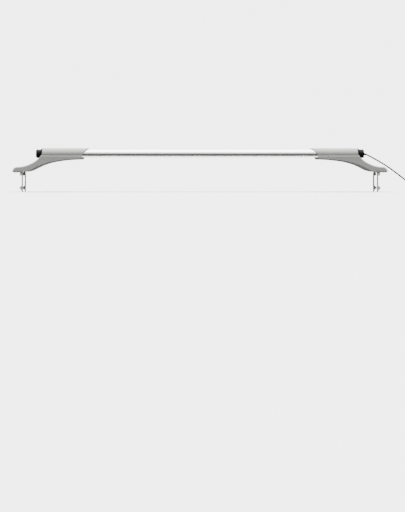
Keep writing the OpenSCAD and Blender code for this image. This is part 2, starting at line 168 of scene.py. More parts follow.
def applied(piece):
    """Makes the modifiers, or a curve's solid, the piece's own mesh."""
    graph = bpy.context.evaluated_depsgraph_get()
    mesh = bpy.data.meshes.new_from_object(piece.evaluated_get(graph))
    name = piece.name
    bpy.data.objects.remove(piece)
    made = link(bpy.data.objects.new(name, mesh))
    clean(made)
    return made


# Where a flat outline's two directions and its thickness point
ACROSS = Matrix(((1, 0, 0), (0, 0, -1), (0, 1, 0)))
LENGTHWISE = Matrix(((0, 0, 1), (1, 0, 0), (0, 1, 0)))
FLAT = Matrix.Identity(3)


def outline_solid(name, loops, facing, low, high, bevel=0.0, steps=2):
    """A plate with rounded edges: flat outlines, solid from low to high along its thickness."""
    data = bpy.data.curves.new(name, "CURVE")
    data.dimensions = "2D"
    data.fill_mode = "BOTH"
    data.extrude = ((high - low) / 2 - bevel) * MM
    data.bevel_depth = bevel * MM
    data.bevel_resolution = steps
    data.offset = -bevel * MM
    for loop in loops:
        spline = data.splines.new("POLY")
        spline.points.add(len(loop) - 1)
        for point, (a, b) in zip(spline.points, loop):
            point.co = (a * MM, b * MM, 0, 1)
        spline.use_cyclic_u = True
    piece = applied(link(bpy.data.objects.new(name, data)))
    place = facing.to_4x4() @ Matrix.Translation((0, 0, (low + high) / 2 * MM))
    piece.data.transform(place)
    return piece


def circle_points(c, r, n=48, start=0.0, turn=360.0):
    last = n if turn < 360 else n - 1
    return [
        (c[0] + r * math.cos(math.radians(start + turn * i / n)),
         c[1] + r * math.sin(math.radians(start + turn * i / n)))
        for i in range(last + 1)
    ]


def turned(name, outline, base, axis, n=48):
    """A solid of revolution: outline is (distance along the axis, radius), from base in millimetres."""
    direction = Vector(axis).normalized()
    side = direction.orthogonal().normalized()
    other = direction.cross(side)
    verts = []
    for d, r in outline:
        for k in range(n):
            a = 2 * math.pi * k / n
            verts.append(Vector(base) + direction * d + (side * math.cos(a) + other * math.sin(a)) * r)
    faces = [(i * n + k, i * n + (k + 1) % n, (i + 1) * n + (k + 1) % n, (i + 1) * n + k)
             for i in range(len(outline) - 1) for k in range(n)]
    faces += [tuple(range(n)), tuple((len(outline) - 1) * n + k for k in range(n))]
    return mesh_object(name, verts, faces)


def join(name, *parts):
    """One piece from several, each of which stays a closed shell."""
    joined = bmesh.new()
    for part in parts:
        joined.from_mesh(part.data)
        bpy.data.objects.remove(part)
    mesh = bpy.data.meshes.new(name)
    joined.to_mesh(mesh)
    joined.free()
    return link(bpy.data.objects.new(name, mesh))


def cut(piece, *cutters):
    """The piece less the cutters, with its many-sided faces split so that they stay flat."""
    for cutter in cutters:
        modifier = piece.modifiers.new("cut", "BOOLEAN")
        modifier.operation = "DIFFERENCE"
        modifier.solver = "MANIFOLD"
        modifier.object = cutter
    piece = applied(piece)
    for cutter in cutters:
        bpy.data.objects.remove(cutter)
    bm = bmesh.new()
    bm.from_mesh(piece.data)
    bmesh.ops.triangulate(bm, faces=[face for face in bm.faces if len(face.verts) > 4])
    bm.to_mesh(piece.data)
    bm.free()
    return piece


def mirrored(piece, name):
    """A copy of a right-hand piece for the left-hand end."""
    copy = link(bpy.data.objects.new(name, piece.data.copy()))
    copy.data.transform(Matrix.Diagonal((-1, 1, 1, 1)))
    copy.data.flip_normals()
    return copy


def finish_piece(piece, body, slot, material, *nodes, angle=32):
    """Shades a piece, gives it its material and says what it rides on and stands for."""
    if piece.type == "MESH":
        for face in piece.data.polygons:
            face.use_smooth = True
        piece.data.set_sharp_from_angle(angle=math.radians(angle))
        weighted = piece.modifiers.new("even normals", "WEIGHTED_NORMAL")
        weighted.keep_sharp = True
    piece.data.materials.clear()
    piece.data.materials.append(material)
    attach(piece, body)
    if nodes:
        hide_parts(*nodes)
    return piece


# ---------------------------------------------------------------- materials


class Graph:
    """A material's nodes, wired with short calls."""

    def __init__(self, name):
        self.material = bpy.data.materials.new(name)
        self.material.use_nodes = True
        self.tree = self.material.node_tree
        self.tree.nodes.clear()
        self.shader = self.tree.nodes.new("ShaderNodeBsdfPrincipled")
        output = self.tree.nodes.new("ShaderNodeOutputMaterial")
        self.tree.links.new(self.shader.outputs["BSDF"], output.inputs["Surface"])
        self.place = self.tree.nodes.new("ShaderNodeTexCoord").outputs["Object"]

    def node(self, kind, inputs=None, **settings):
        made = self.tree.nodes.new(kind)
        for key, value in settings.items():
            setattr(made, key, value)
        for key, value in (inputs or {}).items():
            if isinstance(value, bpy.types.NodeSocket):
                self.tree.links.new(value, made.inputs[key])
            else:
                made.inputs[key].default_value = value
        return made

    def noise(self, per_mm, stretch=(1, 1, 1), detail=3.0):
        """Noise of so many spots to a millimetre, drawn out by the stretch."""
        moved = self.node("ShaderNodeMapping", {"Vector": self.place, "Scale": stretch})
        return self.node("ShaderNodeTexNoise", {
            "Vector": moved.outputs["Vector"], "Scale": per_mm / MM, "Detail": detail, "Roughness": 0.55,
        }).outputs["Fac"]

    def spread(self, value, low, high, start=0.3, end=0.7):
        return self.node("ShaderNodeMapRange", {
            "Value": value, "From Min": start, "From Max": end, "To Min": low, "To Max": high,
        }).outputs["Result"]

    def blend(self, amount, a, b):
        made = self.node("ShaderNodeMix", data_type="RGBA")
        self.tree.links.new(amount, made.inputs["Factor"])
        for socket, colour in ((made.inputs[6], a), (made.inputs[7], b)):
            if isinstance(colour, bpy.types.NodeSocket):
                self.tree.links.new(colour, socket)
            else:
                socket.default_value = (*colour, 1)
        return made.outputs[2]

    def bump(self, height, depth, under=None):
        """Raises the surface by up to depth millimetres where height is 1."""
        made = self.node("ShaderNodeBump", {"Height": height, "Strength": 1.0, "Distance": depth * MM})
        if under:
            self.tree.links.new(under, made.inputs["Normal"])
        return made.outputs["Normal"]

    def set(self, **inputs):
        for key, value in inputs.items():
            socket = self.shader.inputs[key.replace("_", " ")]
            if isinstance(value, bpy.types.NodeSocket):
                self.tree.links.new(value, socket)
            else:
                socket.default_value = value
        return self.material


def tint(colour, by):
    return tuple(min(c * by, 1) for c in colour)


def moulded(name, colour, rough, grain=2.2, depth=0.012, vary=0.05, edge=None, **extra):
    """Moulded plastic or rubber: spark-eroded grain, faint flow marks and, if given, paler edges that are
    partly wear and partly a painted highlight.
    """
    g = Graph(name)
    flow = g.noise(0.03, detail=4)
    shade = g.blend(g.spread(flow, 0, 1), tint(colour, 1 - vary), tint(colour, 1 + vary))
    if edge:
        # Paler on sharp convex edges, in patches: partly wear, partly a painted highlight along the edges.
        point = g.node("ShaderNodeNewGeometry").outputs["Pointiness"]
        worn_and_highlit_edges = g.node("ShaderNodeMath", {
            0: g.spread(point, 0, 0.6, 0.52, 0.6), 1: g.spread(g.noise(0.25), 0, 1),
        }, operation="MULTIPLY").outputs[0]
        shade = g.blend(worn_and_highlit_edges, shade, edge)
    fine = g.noise(grain, detail=2)
    return g.set(
        Base_Color=shade, Roughness=g.spread(g.noise(0.2), rough - 0.04, rough + 0.05),
        Normal=g.bump(fine, depth), **extra,
    )


def extruded_metal(name, colour, rough, **extra):
    """Satin anodised aluminium with fine die lines along the bar."""
    g = Graph(name)
    lines = g.noise(1.6, stretch=(0.004, 1, 1), detail=4)
    cloud = g.noise(0.012, detail=3)
    shade = g.blend(g.spread(cloud, 0, 1), tint(colour, 0.96), colour)
    streak = g.blend(g.spread(lines, 0, 0.5), shade, tint(colour, 0.92))
    return g.set(
        Base_Color=streak, Metallic=1.0, Roughness=g.spread(lines, rough - 0.06, rough + 0.08),
        Normal=g.bump(lines, 0.006), **extra,
    )


def plated(name, colour, rough):
    """Plated or turned metal with faint rubbing marks."""
    g = Graph(name)
    marks = g.noise(0.8, stretch=(1, 1, 3), detail=4)
    return g.set(
        Base_Color=g.blend(g.spread(marks, 0, 1), tint(colour, 0.9), colour), Metallic=1.0,
        Roughness=g.spread(marks, rough - 0.05, rough + 0.1), Normal=g.bump(marks, 0.004),
    )


def glowing(name, colour, light, strength):
    """A lit LED: a pale body with a softly uneven glow."""
    g = Graph(name)
    spots = g.noise(0.6, detail=2)
    material = g.set(
        Base_Color=g.blend(g.spread(spots, 0, 1), tint(colour, 0.92), colour), Roughness=0.35,
        Emission_Color=(*light, 1), Emission_Strength=strength,
    )
    material.cycles.emission_sampling = "NONE"
    return material


def clear(name, colour, rough, transmission, ior, grain, depth, **extra):
    """Clear or smoked moulded plastic with a faint haze."""
    g = Graph(name)
    haze = g.noise(grain, detail=3)
    return g.set(
        Base_Color=g.blend(g.spread(g.noise(0.04), 0, 1), tint(colour, 0.95), colour),
        Roughness=g.spread(haze, rough - 0.05, rough + 0.08), Transmission_Weight=transmission, IOR=ior,
        Normal=g.bump(haze, depth), **extra,
    )


ALUMINIUM = extruded_metal("bar_aluminium", (0.93, 0.935, 0.945), 0.34)
# The bracket's paler edge colour is partly wear and partly a painted highlight.
BRACKET_PLASTIC = moulded("bracket_plastic", (0.225, 0.228, 0.215), 0.42, edge=(0.30, 0.30, 0.29))
RAIL = moulded("rail_plastic", (0.13, 0.13, 0.125), 0.5)
# The cap's paler edge colour is partly wear and partly a painted highlight.
CAP_PLASTIC = moulded("cap_plastic", (0.004, 0.004, 0.004), 0.5, edge=(0.012, 0.012, 0.012),
                      Specular_IOR_Level=0.06)
RUBBER = moulded("rubber", (0.02, 0.02, 0.02), 0.68, grain=1.2, depth=0.03)
SEAL = moulded("seal_silicone", (0.10, 0.10, 0.10), 0.6)
CORD = moulded("cord_sheath", (0.012, 0.012, 0.013), 0.42, grain=1.0, depth=0.02)
PLUG = moulded("plug_moulding", (0.014, 0.014, 0.015), 0.45, grain=1.6, depth=0.02)
STRAP = moulded("strap_fabric", (0.025, 0.025, 0.027), 0.85, grain=3.0, depth=0.12, vary=0.15)
STEEL = plated("screw_steel", (0.62, 0.61, 0.59), 0.3)
NICKEL = plated("plug_nickel", (0.74, 0.73, 0.70), 0.18)
INSULATOR = moulded("plug_insulator", (0.75, 0.62, 0.12), 0.4)
BOARD = moulded("board_mask", (0.86, 0.87, 0.85), 0.3, grain=0.8, depth=0.01, vary=0.02)
TAPE = moulded("thermal_tape", (0.45, 0.55, 0.72), 0.7, grain=1.5, depth=0.03)
CHIP = moulded("chip_ceramic", (0.02, 0.02, 0.022), 0.3)
LINK = moulded("link_plastic", (0.82, 0.82, 0.78), 0.4)
WIRE_RED = moulded("wire_red", (0.45, 0.02, 0.02), 0.35, depth=0.005)
WIRE_BLACK = moulded("wire_black", (0.015, 0.015, 0.015), 0.35, depth=0.005)
LED_BODY = moulded("led_body", (0.88, 0.88, 0.84), 0.35, depth=0.004)
LED_WHITE = glowing("led_white_glow", (1.0, 0.94, 0.62), (1.0, 0.96, 0.86), 14.0)
LED_COLOUR = glowing("led_plant_glow", (0.9, 0.30, 0.35), (1.0, 0.28, 0.42), 9.0)
# The lens's emission is a painted glow: it stands in for the LEDs' light scattered in the lens.
LENS = clear("lens_polycarbonate", (0.97, 0.985, 0.99), 0.22, 0.92, 1.45, 0.5, 0.05,
             Emission_Color=(1.0, 0.985, 0.95, 1), Emission_Strength=0.6)
LENS.cycles.emission_sampling = "NONE"
# The clips' paler edge colour is partly wear and partly a painted highlight.
CLIP_PLASTIC = moulded("clip_smoke", (0.36, 0.375, 0.35), 0.3, grain=0.5, depth=0.004, vary=0.03,
                       edge=(0.44, 0.45, 0.43), Transmission_Weight=0.15, IOR=1.49)

# ---------------------------------------------------------------- the power lead

CORD_R = 2
# The lead's and tail's routes in part.scad: x past the bar's end, y, and z; the tail's z is above the floor
LEAD_ROUTE = [
    (10.2, 0, 44.4), (15, 0, 42.2), (24, 0, 37.6), (34, 0, 32), (44, 0, 26.3), (54, 0, 20.3),
    (64, 0, 13.7), (73, 0, 7.4), (82, 0, 0.8), (92, 0, -6.9), (101, 0, -13.9), (110, 0, -20.4),
    (119, 0, -26), (127.5, 0, -30.2), (135.5, -0.1, -32.3)
]
TAIL_ROUTE = [(174.4, 32, 2.5), (175.2, 38, 2.4), (176.2, 44, 3.9), (176.6, 50, 5.2), (176.6, 57, 5.2)]
PLUG_TIP = (176.6, 91, 5.2)
COIL_CENTRE = (148, 26)
COIL_COLUMNS = (18.2, 22.2, 26.2)
COIL_LAYERS = (2.7, 6.7, 10.7, 14.7)
# Each turn's column and layer, from the lead's turn on top to the tail's turn, lowest and outermost
COIL_TURNS = [(2, 3), (2, 2), (1, 2), (0, 2), (0, 1), (0, 0), (1, 0), (1, 1), (2, 1), (2, 0)]
FIRST_CROSSING = 165     # degrees round the coil; the lead comes in at -90
CROSSING_SPAN = 80
TURN_PITCH = 330         # from one crossing to the next


def past_end(point, height=0.0):
    """A point given from the bar's end, in the frame."""
    return Vector((BAR_END + point[0], point[1], point[2] + height))


def coil_points(step):
    """The coil from the lead's end to the tail's start. Each turn keeps a place in the bundle, then crosses
    smoothly to the next."""
    places = [(COIL_COLUMNS[c], COIL_LAYERS[z]) for c, z in COIL_TURNS]
    crossings = [FIRST_CROSSING + n * TURN_PITCH for n in range(len(places) - 1)]
    last = 360 * math.ceil((crossings[-1] + CROSSING_SPAN) / 360)
    out = []
    for angle in range(-90, last + 1, step):
        r, z = places[0]
        for n, start in enumerate(crossings):
            t = smoothstep((angle - start) / CROSSING_SPAN)
            r += t * (places[n + 1][0] - places[n][0])
            z += t * (places[n + 1][1] - places[n][1])
        a = math.radians(angle)
        x, y = COIL_CENTRE[0] + r * math.cos(a), COIL_CENTRE[1] + r * math.sin(a)
        out.append(past_end((x, y, z), FLOOR_Z))
    return out


def make_cord():
    """The lead from inside the cap, down to the coil, round it and out to the plug, as one tube."""
    start = [Vector((BAR_END - 3, 0, GLAND_Z)), Vector((BAR_END + 1.2, 0, GLAND_Z - 0.2))]
    coil = coil_points(10)
    lead = catmull([*start, *[past_end(p) for p in LEAD_ROUTE], coil[0], coil[1]], 3)[:-4]
    tail = catmull([coil[-2], coil[-1], *[past_end(p, FLOOR_Z) for p in TAIL_ROUTE]], 3)[3:]
    points = [*lead, *coil, *tail[1:]]
    data = bpy.data.curves.new("power_lead", "CURVE")
    data.dimensions = "3D"
    data.bevel_depth = CORD_R * MM
    data.bevel_resolution = 4
    data.use_fill_caps = True
    spline = data.splines.new("POLY")
    spline.points.add(len(points) - 1)
    for point, place in zip(spline.points, points):
        point.co = (*place * MM, 1)
    spline.use_smooth = True
    return link(bpy.data.objects.new("power_lead", data))


def make_plug():
    """The moulded DC plug: ribbed strain relief, a grip with ridges, and a recess round the barrel."""
    length = PLUG_TIP[1] - TAIL_ROUTE[3][1]
    barrel = 9
    grip = 18
    outline = [(barrel - 0.02, 2.8), (barrel, 2.85), (barrel, 4.6), (barrel + 0.35, 5), (barrel + 0.9, 5.2)]
    for k in range(6):
        d = barrel + 4 + 1.6 * k
        outline += [(d, 5.2), (d + 0.25, 4.85), (d + 0.75, 4.85), (d + 1.0, 5.2)]
    outline += [(barrel + grip - 1.2, 5.2), (barrel + grip - 0.5, 4.95), (barrel + grip, 4.4)]
    relief = length - barrel - grip
    for k in range(5):
        d = barrel + grip + 0.8 + 2.5 * k
        r = 4 - 1.5 * (d - barrel - grip) / relief
        outline += [(d, r), (d + 0.3, r - 0.45), (d + 1.2, r - 0.5), (d + 1.5, r - 0.15)]
    outline += [(length - 0.3, 2.5), (length, 2.3)]
    return turned("plug_moulding", outline, past_end(PLUG_TIP, FLOOR_Z), (0, -1, 0))


def make_tie():
    """A hook-and-loop strap round all the turns."""
    inner, outer, top = COIL_COLUMNS[0] - 2.1, COIL_COLUMNS[2] + 2.1, COIL_LAYERS[3] + 2.1
    thick = 0.65
    corner = 1.8
    loop = []
    corners = ((outer, 0.65, -90), (outer, top, 0), (inner, top, 90), (inner, 0.65, 180))
    for r, z, turn in corners:
        c = (r - corner if r == outer else r + corner, z + corner if z < 1 else z - corner)
        loop += circle_points(c, corner, 6, turn, 90)
    verts = []
    faces = []
    width = [80, 80.8, 90, 99.2, 100]
    count = len(loop)
    centre = ((inner + outer) / 2, (0.65 + top) / 2)
    for layer in (0, 1):
        for k, angle in enumerate(width):
            a = math.radians(angle)
            lift = thick if layer else 0.0
            pinch = 0.12 if k in (0, 4) and layer else 0
            for r, z in loop:
                away = Vector((r - centre[0], z - centre[1])).normalized()
                rr, zz = r + away.x * (lift - pinch), z + away.y * (lift - pinch)
                verts.append(past_end((COIL_CENTRE[0] + rr * math.cos(a), COIL_CENTRE[1] + rr * math.sin(a),
                                       max(zz, 0.02)), FLOOR_Z))
    rows = len(width)
    for layer in (0, 1):
        for k in range(rows - 1):
            for i in range(count):
                j = (i + 1) % count
                base = layer * rows * count
                faces.append((base + k * count + i, base + k * count + j,
                              base + (k + 1) * count + j, base + (k + 1) * count + i))
    for k in (0, rows - 1):
        for i in range(count):
            j = (i + 1) % count
            faces.append((k * count + i, k * count + j, (rows + k) * count + j, (rows + k) * count + i))
    return mesh_object("lead_strap", verts, faces)


power_lead = finish_piece(
    make_cord(), "light_bar", "cord_black", CORD, "power_cord", "cord_coil", "cord_tail")
plug = finish_piece(make_plug(), "light_bar", "plug_black", PLUG, "plug_body")
strap = finish_piece(make_tie(), "light_bar", "tie_black", STRAP, "cord_tie")

# ---------------------------------------------------------------- brackets

# The bracket's outlines in part.scad, as distance u from the toe and height z
TOE = [(TOE_TIP, PAD_T), (0.4, 7), (3.4, 13.8), (13, 13.9)]
INSTEP = [(13, 13.9), (32, 13.9), (56, 23.6), (69.5, 40)]
SHOULDER = [(69.5, 40), (71, 42), (73, 44.5), (73, 48)]
MOUTH = [(171, 40), (171, 46), (178, 54), (185, SLEEVE_TOP)]
HEEL = [(171, 40), (170.6, 36), (170, 32.4), (166, 32.2)]
END_WALL_TOP = (73, 62)      # above the sleeve's top, so that the top edge is part of the line
BELLY = [(67, 15.8), (90, 26), (120, 31), (166, 32.2)]
ARCH = [(24, PAD_T), (44, PAD_T), (52, 9.2), (67, 15.8)]
PLAN = [(-2.5, 20), (-2.5, 28.8), (2, 30.6), (24, 30.8)]
PLAN_BACK = [(24, 30.8), (50, 31.5), (70, 33.7), (110, 33.7)]
# Its section, as half width y and height z: a round shoulder down to a tuck, then the arm's side
ROUND_SHOULDER = [(18, SLEEVE_TOP), (26, SLEEVE_TOP), (BRACKET_HALF - 0.1, 53), (BRACKET_HALF - 0.1, 45)]
TUCK = [(32.6, 45), (32.45, 44.1), (32.2, 43), (32.0, 42), (31.95, 41.3), (32.1, 40.6), (32.4, 40)]
SIDE = [(32.4, -5), (32.4, 30), (32.6, 36), (32.68, 38.6), (32.7, 39.2), (32.6, 39.6), (32.4, 40)]
JOIN_Z = 40

plan_line = [PLAN[0], *along(PLAN, 24), *along(PLAN_BACK, 12)]
front_line = [TOE[0], *along(TOE, 16), *along(INSTEP, 40), *along(SHOULDER, 12), END_WALL_TOP]
belly_line = [(TOE_TIP, PAD_T), (24, PAD_T), *along(ARCH, 24), *along(BELLY, 30)]
mouth_line = [HEEL[3], *reversed(along(HEEL, 10)[:-1]), HEEL[0], *along(MOUTH, 16)]
wall_line = [SHOULDER[0], *along(SHOULDER, 12), END_WALL_TOP]


def distance(line, u, z):
    """How far (u, z) is from the nearest place on a line of points."""
    best = 1e9
    for (u0, z0), (u1, z1) in zip(line, line[1:]):
        du, dz = u1 - u0, z1 - z0
        t = ((u - u0) * du + (z - z0) * dz) / (du * du + dz * dz)
        t = min(max(t, 0), 1)
        best = min(best, math.hypot(u - u0 - t * du, z - z0 - t * dz))
    return best


def edge_fall(u, z):
    """How far the side of the bracket falls in at the rounded edges."""
    front = round_over(3 - 1.5 * smoothstep((z - 28) / 14), distance(front_line, u, z))
    under = round_over(0.8 + 0.8 * smoothstep((u - 28) / 20), distance(belly_line, u, z)) if z < 38 else 0
    mouth = round_over(0.6, distance(mouth_line, u, z)) if u > 160 else 0
    return front + under + mouth


def side_width(u, z):
    """Half width of the arm: the narrower of the plan's and the side's outlines."""
    return min(lookup(plan_line, u), lookup([(height, half) for half, height in SIDE], z))


def ring_of_arm(top, bottom, shift):
    """Points down the arm's side, closest near its rounded edges. shift bows the ring to the heel."""
    length = math.dist(top, bottom)
    scale = min(1, length / 8)
    ends = [0, 0.15, 0.35, 0.6, 1.0, 1.6, 2.3, 3.1]
    low = [2.2, 1.6, 1.1, 0.7, 0.35, 0.12, 0]
    rows = [d * scale for d in ends]
    middle = 9
    a, b = rows[-1], length - low[0] * scale
    rows += [a + (b - a) * k / (middle + 1) for k in range(1, middle + 1)]
    rows += [length - d * scale for d in low]
    out = []
    for d in rows:
        u, z = mix(top, bottom, d / length)
        if shift:
            bow = (lookup([(-b, a) for a, b in [HEEL[0], *along(HEEL, 10)]], -z)
                   - mix(HEEL[0], HEEL[3], (HEEL[0][1] - z) / (HEEL[0][1] - HEEL[3][1]))[0])
            u += shift * bow * (1 if z >= HEEL[3][1] else 0)
        out.append((TIP_X - u, side_width(u, z) - edge_fall(u, z), z))
    return out


def bracket_columns():
    """Distances from the toe along the row where the arm meets the sleeve."""
    near = [69.5, 69.6, 69.8, 70.1, 70.5, 71.0, 71.7, 72.6, 74]
    far = [162, 165, 167.5, 169.3, 170.2, 170.6, 170.85, 171]
    steps = 22
    return near + [near[-1] + (far[0] - near[-1]) * k / steps for k in range(1, steps)] + far


def arm_skin():
    """Rings down the arm's side, from the toe along the instep and then under the sleeve."""
    rings = []
    for k in range(1, 15):
        t = (k / 14) ** 1.6
        rings.append((bezier(TOE, t), (TOE_TIP + (21 - TOE_TIP) * t, PAD_T)))
    for k in range(1, 25):
        top = bezier(INSTEP, k / 24)
        under = top[0] + 8 * (1 - smoothstep((top[0] - 40) / 60))
        rings.append((top, (under, lookup(belly_line, under))))
    skin = [ring_of_arm(top, bottom, 0) for top, bottom in rings]
    for u in bracket_columns()[1:]:
        under = u + 8 * (1 - smoothstep((u - 40) / 60))
        shift = smoothstep((u - 150) / 21)
        under += shift * (HEEL[3][0] - HEEL[0][0])
        skin.append(ring_of_arm((u, JOIN_Z), (under, lookup(belly_line, under)), shift))
    return skin


def sleeve_skin():
    """Rows up the side of the sleeve to the edge of its flat top, each from the end wall to the mouth."""
    outline = [*reversed(TUCK), *reversed([ROUND_SHOULDER[0], *along(ROUND_SHOULDER, 18)][:-1])]
    near = [0, 0.1, 0.3, 0.6, 1.0, 1.5, 2.2, 3.1, 4.5]
    far = [9, 6, 3.5, 1.7, 0.8, 0.4, 0.15, 0]
    steps = 22
    skin = []
    for i, (y, z) in enumerate(outline):
        before, after = outline[max(i - 1, 0)], outline[min(i + 1, len(outline) - 1)]
        normal = Vector((after[1] - before[1], before[0] - after[0])).normalized()
        if i == len(outline) - 1:
            normal = Vector((0, 1))
        start = lookup([(b, a) for a, b in wall_line], z)
        end = lookup([(b, a) for a, b in [MOUTH[0], *along(MOUTH, 16)]], z)
        if i == 0:
            us = bracket_columns()
        else:
            a, b = start + near[-1], end - far[0]
            us = [start + d for d in near] + [a + (b - a) * k / steps for k in range(1, steps)]
            us += [end - d for d in far]
        row = []
        for u in us:
            fall = round_over(1.5, distance(wall_line, u, z)) if z > JOIN_Z + 4 else edge_fall(u, z)
            fall += round_over(0.6, distance(mouth_line, u, z)) if z > JOIN_Z + 4 else 0
            row.append((TIP_X - u, y - normal[0] * fall, z - normal[1] * fall))
        skin.append(row)
    return skin


def make_bracket():
    """The bracket's moulding: a skin for one side, its mirror image, and strips across between them."""
    bm = bmesh.new()
    for skin in (arm_skin(), sleeve_skin()):
        grid = [[bm.verts.new(Vector(p) * MM) for p in row] for row in skin]
        for a, b in zip(grid, grid[1:]):
            for i in range(len(a) - 1):
                bm.faces.new((a[i], a[i + 1], b[i + 1], b[i]))
    bmesh.ops.remove_doubles(bm, verts=bm.verts, dist=1e-5)
    border = [e for e in bm.edges if e.is_boundary]
    mirror = {}
    for v in list(bm.verts):
        mirror[v] = bm.verts.new((v.co.x, -v.co.y, v.co.z))
    for face in list(bm.faces):
        bm.faces.new([mirror[v] for v in reversed(face.verts)])
    for e in border:
        a, b = e.verts
        bm.faces.new((a, b, mirror[b], mirror[a]))
    bmesh.ops.recalc_face_normals(bm, faces=bm.faces)
    mesh = bpy.data.meshes.new("bracket")
    bm.to_mesh(mesh)
    bm.free()
    return link(bpy.data.objects.new("bracket", mesh))


SLIDE_GAP = 0.3          # between the bar's profile and the sleeve's bore
SLEEVE_FLOOR = 34.9      # bottom of the bore
WALL = 2.3
CAVITY = (34, 126)       # the arm's hollow, from u to u
CEILING_Z = 32.4         # the hollow's ceiling
CLIP_Y = 24              # each clip's middle, to the front and to the back
PIVOT = (21.9, 5.6)      # the middle of a clip's round head, as u and z
CLIP_W = 9
HEAD_R = 3
SOCKET_GAP = 0.1         # between a clip's head and its socket


def profile_shoulder(grow):
    """The profile's round shoulder, from its flat top down to its side wall, as (y, z)."""
    half, top = PROFILE_HALF + grow, PROFILE_TOP + grow
    return [(18, top), *along([
        (18, top), (PROFILE_HALF - 5.5 + grow / 2, top),
        (half, PROFILE_TOP - 4.9 + grow / 2), (half, WALL_Z)
    ], 18)]


def toe_to_x(outline):
    """(u, z) points as (x, z) points, in the same turning direction."""
    return [(TIP_X - u, z) for u, z in reversed(outline)]


def cavity_cutter():
    """The hollow of the arm: sections that follow the inside of the instep and of the side walls."""
    steps = 28
    instep = [INSTEP[0], *along(INSTEP, 40)]
    verts = []
    for k in range(steps + 1):
        u = CAVITY[0] + (CAVITY[1] - CAVITY[0]) * k / steps
        half = min(lookup(plan_line, u), BRACKET_HALF) - WALL
        top = min(lookup(instep, u) - 1.28 * WALL, CEILING_Z) if u < INSTEP[3][0] else CEILING_Z
        corner = 1
        side = [(half, -6), (half, top - corner), (half - corner, top)]
        verts += [(TIP_X - u, y, z) for y, z in side + [(-y, z) for y, z in reversed(side)]]
    faces = [(6 * k + i, 6 * k + (i + 1) % 6, 6 * k + 6 + (i + 1) % 6, 6 * k + 6 + i)
             for k in range(steps) for i in range(6)]
    faces += [tuple(range(6)), tuple(6 * steps + i for i in range(6))]
    return mesh_object("cavity", verts, faces)


def socket_cutter(side):
    """The clip's round socket and the slot below it."""
    c = (TIP_X - PIVOT[0], PIVOT[1])
    slot = 2.1
    radius = HEAD_R + SOCKET_GAP
    start = math.degrees(math.asin(slot / radius))
    outline = circle_points(c, radius, 40, start - 90, 360 - 2 * start)
    outline += [(c[0] - slot, -1), (c[0] + slot, -1)]
    half = CLIP_W / 2 + 0.2
    return outline_solid("socket", [outline], ACROSS, side * CLIP_Y - half, side * CLIP_Y + half)


def make_brackets():
    opening = [*profile_shoulder(SLIDE_GAP), (PROFILE_HALF + SLIDE_GAP, SLEEVE_FLOOR)]
    bore = outline_solid("bore", [both(opening)], LENGTHWISE, TIP_X - 200, TIP_X - 50)
    right = cut(make_bracket(), bore, cavity_cutter(), socket_cutter(-1), socket_cutter(1))
    right.name = "bracket_moulding_right"
    left = mirrored(right, "bracket_moulding_left")
    for name, piece in (("right", right), ("left", left)):
        finish_piece(piece, "bracket_" + name, "bracket_grey", BRACKET_PLASTIC, "bracket_" + name)


make_brackets()

# ---------------------------------------------------------------- rim clips and foot pads

FINGER_U = 22.9                      # the finger's inner face
BLOCK = ((18.6, -7.5), (25.2, 1))    # the shoulder's corners, as u and z
BARB_Z = (3.3, 9.8, 16.2)            # the barb's base, point and root, above the finger's tip
BARB_OUT = 6                         # how far the barb's point stands out


def clip_outline():
    """Side view of a rim clip: a round head on a stem, a shoulder under the foot and a barbed finger."""
    (u0, z0), (u1, z1) = BLOCK
    stem = 1.3
    lean = math.degrees(math.asin(stem / HEAD_R))
    head = circle_points(PIVOT, HEAD_R, 36, lean - 90, 360 - 2 * lean)
    tip = FLOOR_Z
    low, point, root = (tip + z for z in BARB_Z)
    f = FINGER_U
    return head + [
        (PIVOT[0] - stem, z1), (u0 + 0.6, z1), (u0 + 0.18, z1 - 0.18), (u0, z1 - 0.6),
        (u0, z0 + 0.6), (u0 + 0.18, z0 + 0.18), (u0 + 0.6, z0),
        (f - 1.2, z0), (f - 0.35, z0 - 0.35), (f, z0 - 1.2), (f, root),
        (f - BARB_OUT + 0.9, point + 1.1), (f - BARB_OUT + 0.15, point + 0.45), (f - BARB_OUT, point),
        (f - BARB_OUT + 0.15, point - 0.45), (f - BARB_OUT + 0.9, point - 1.1), (f, low),
        (f + 0.5, tip + 0.2), (f + 0.8, tip), (u1 - 0.9, tip), (u1 - 0.3, tip + 0.3), (u1, tip + 1.2),
        (u1, z1 - 1.1), (u1 - 1.4, z1), (PIVOT[0] + stem, z1)
    ]


def make_clips():
    for side in SIDES:
        for row, k in (("front", -1), ("rear", 1)):
            clip = outline_solid("clip", [toe_to_x(clip_outline())], ACROSS,
                                 -k * CLIP_Y - CLIP_W / 2, -k * CLIP_Y + CLIP_W / 2, bevel=0.35)
            if side == "left":
                right_hand = clip
                clip = mirrored(right_hand, "clip_left")
                bpy.data.objects.remove(right_hand)
            node = f"rim_clip_{side}_{row}"
            clip.name = f"clip_{side}_{row}"
            finish_piece(clip, node, "clip_smoke", CLIP_PLASTIC, node)


make_clips()


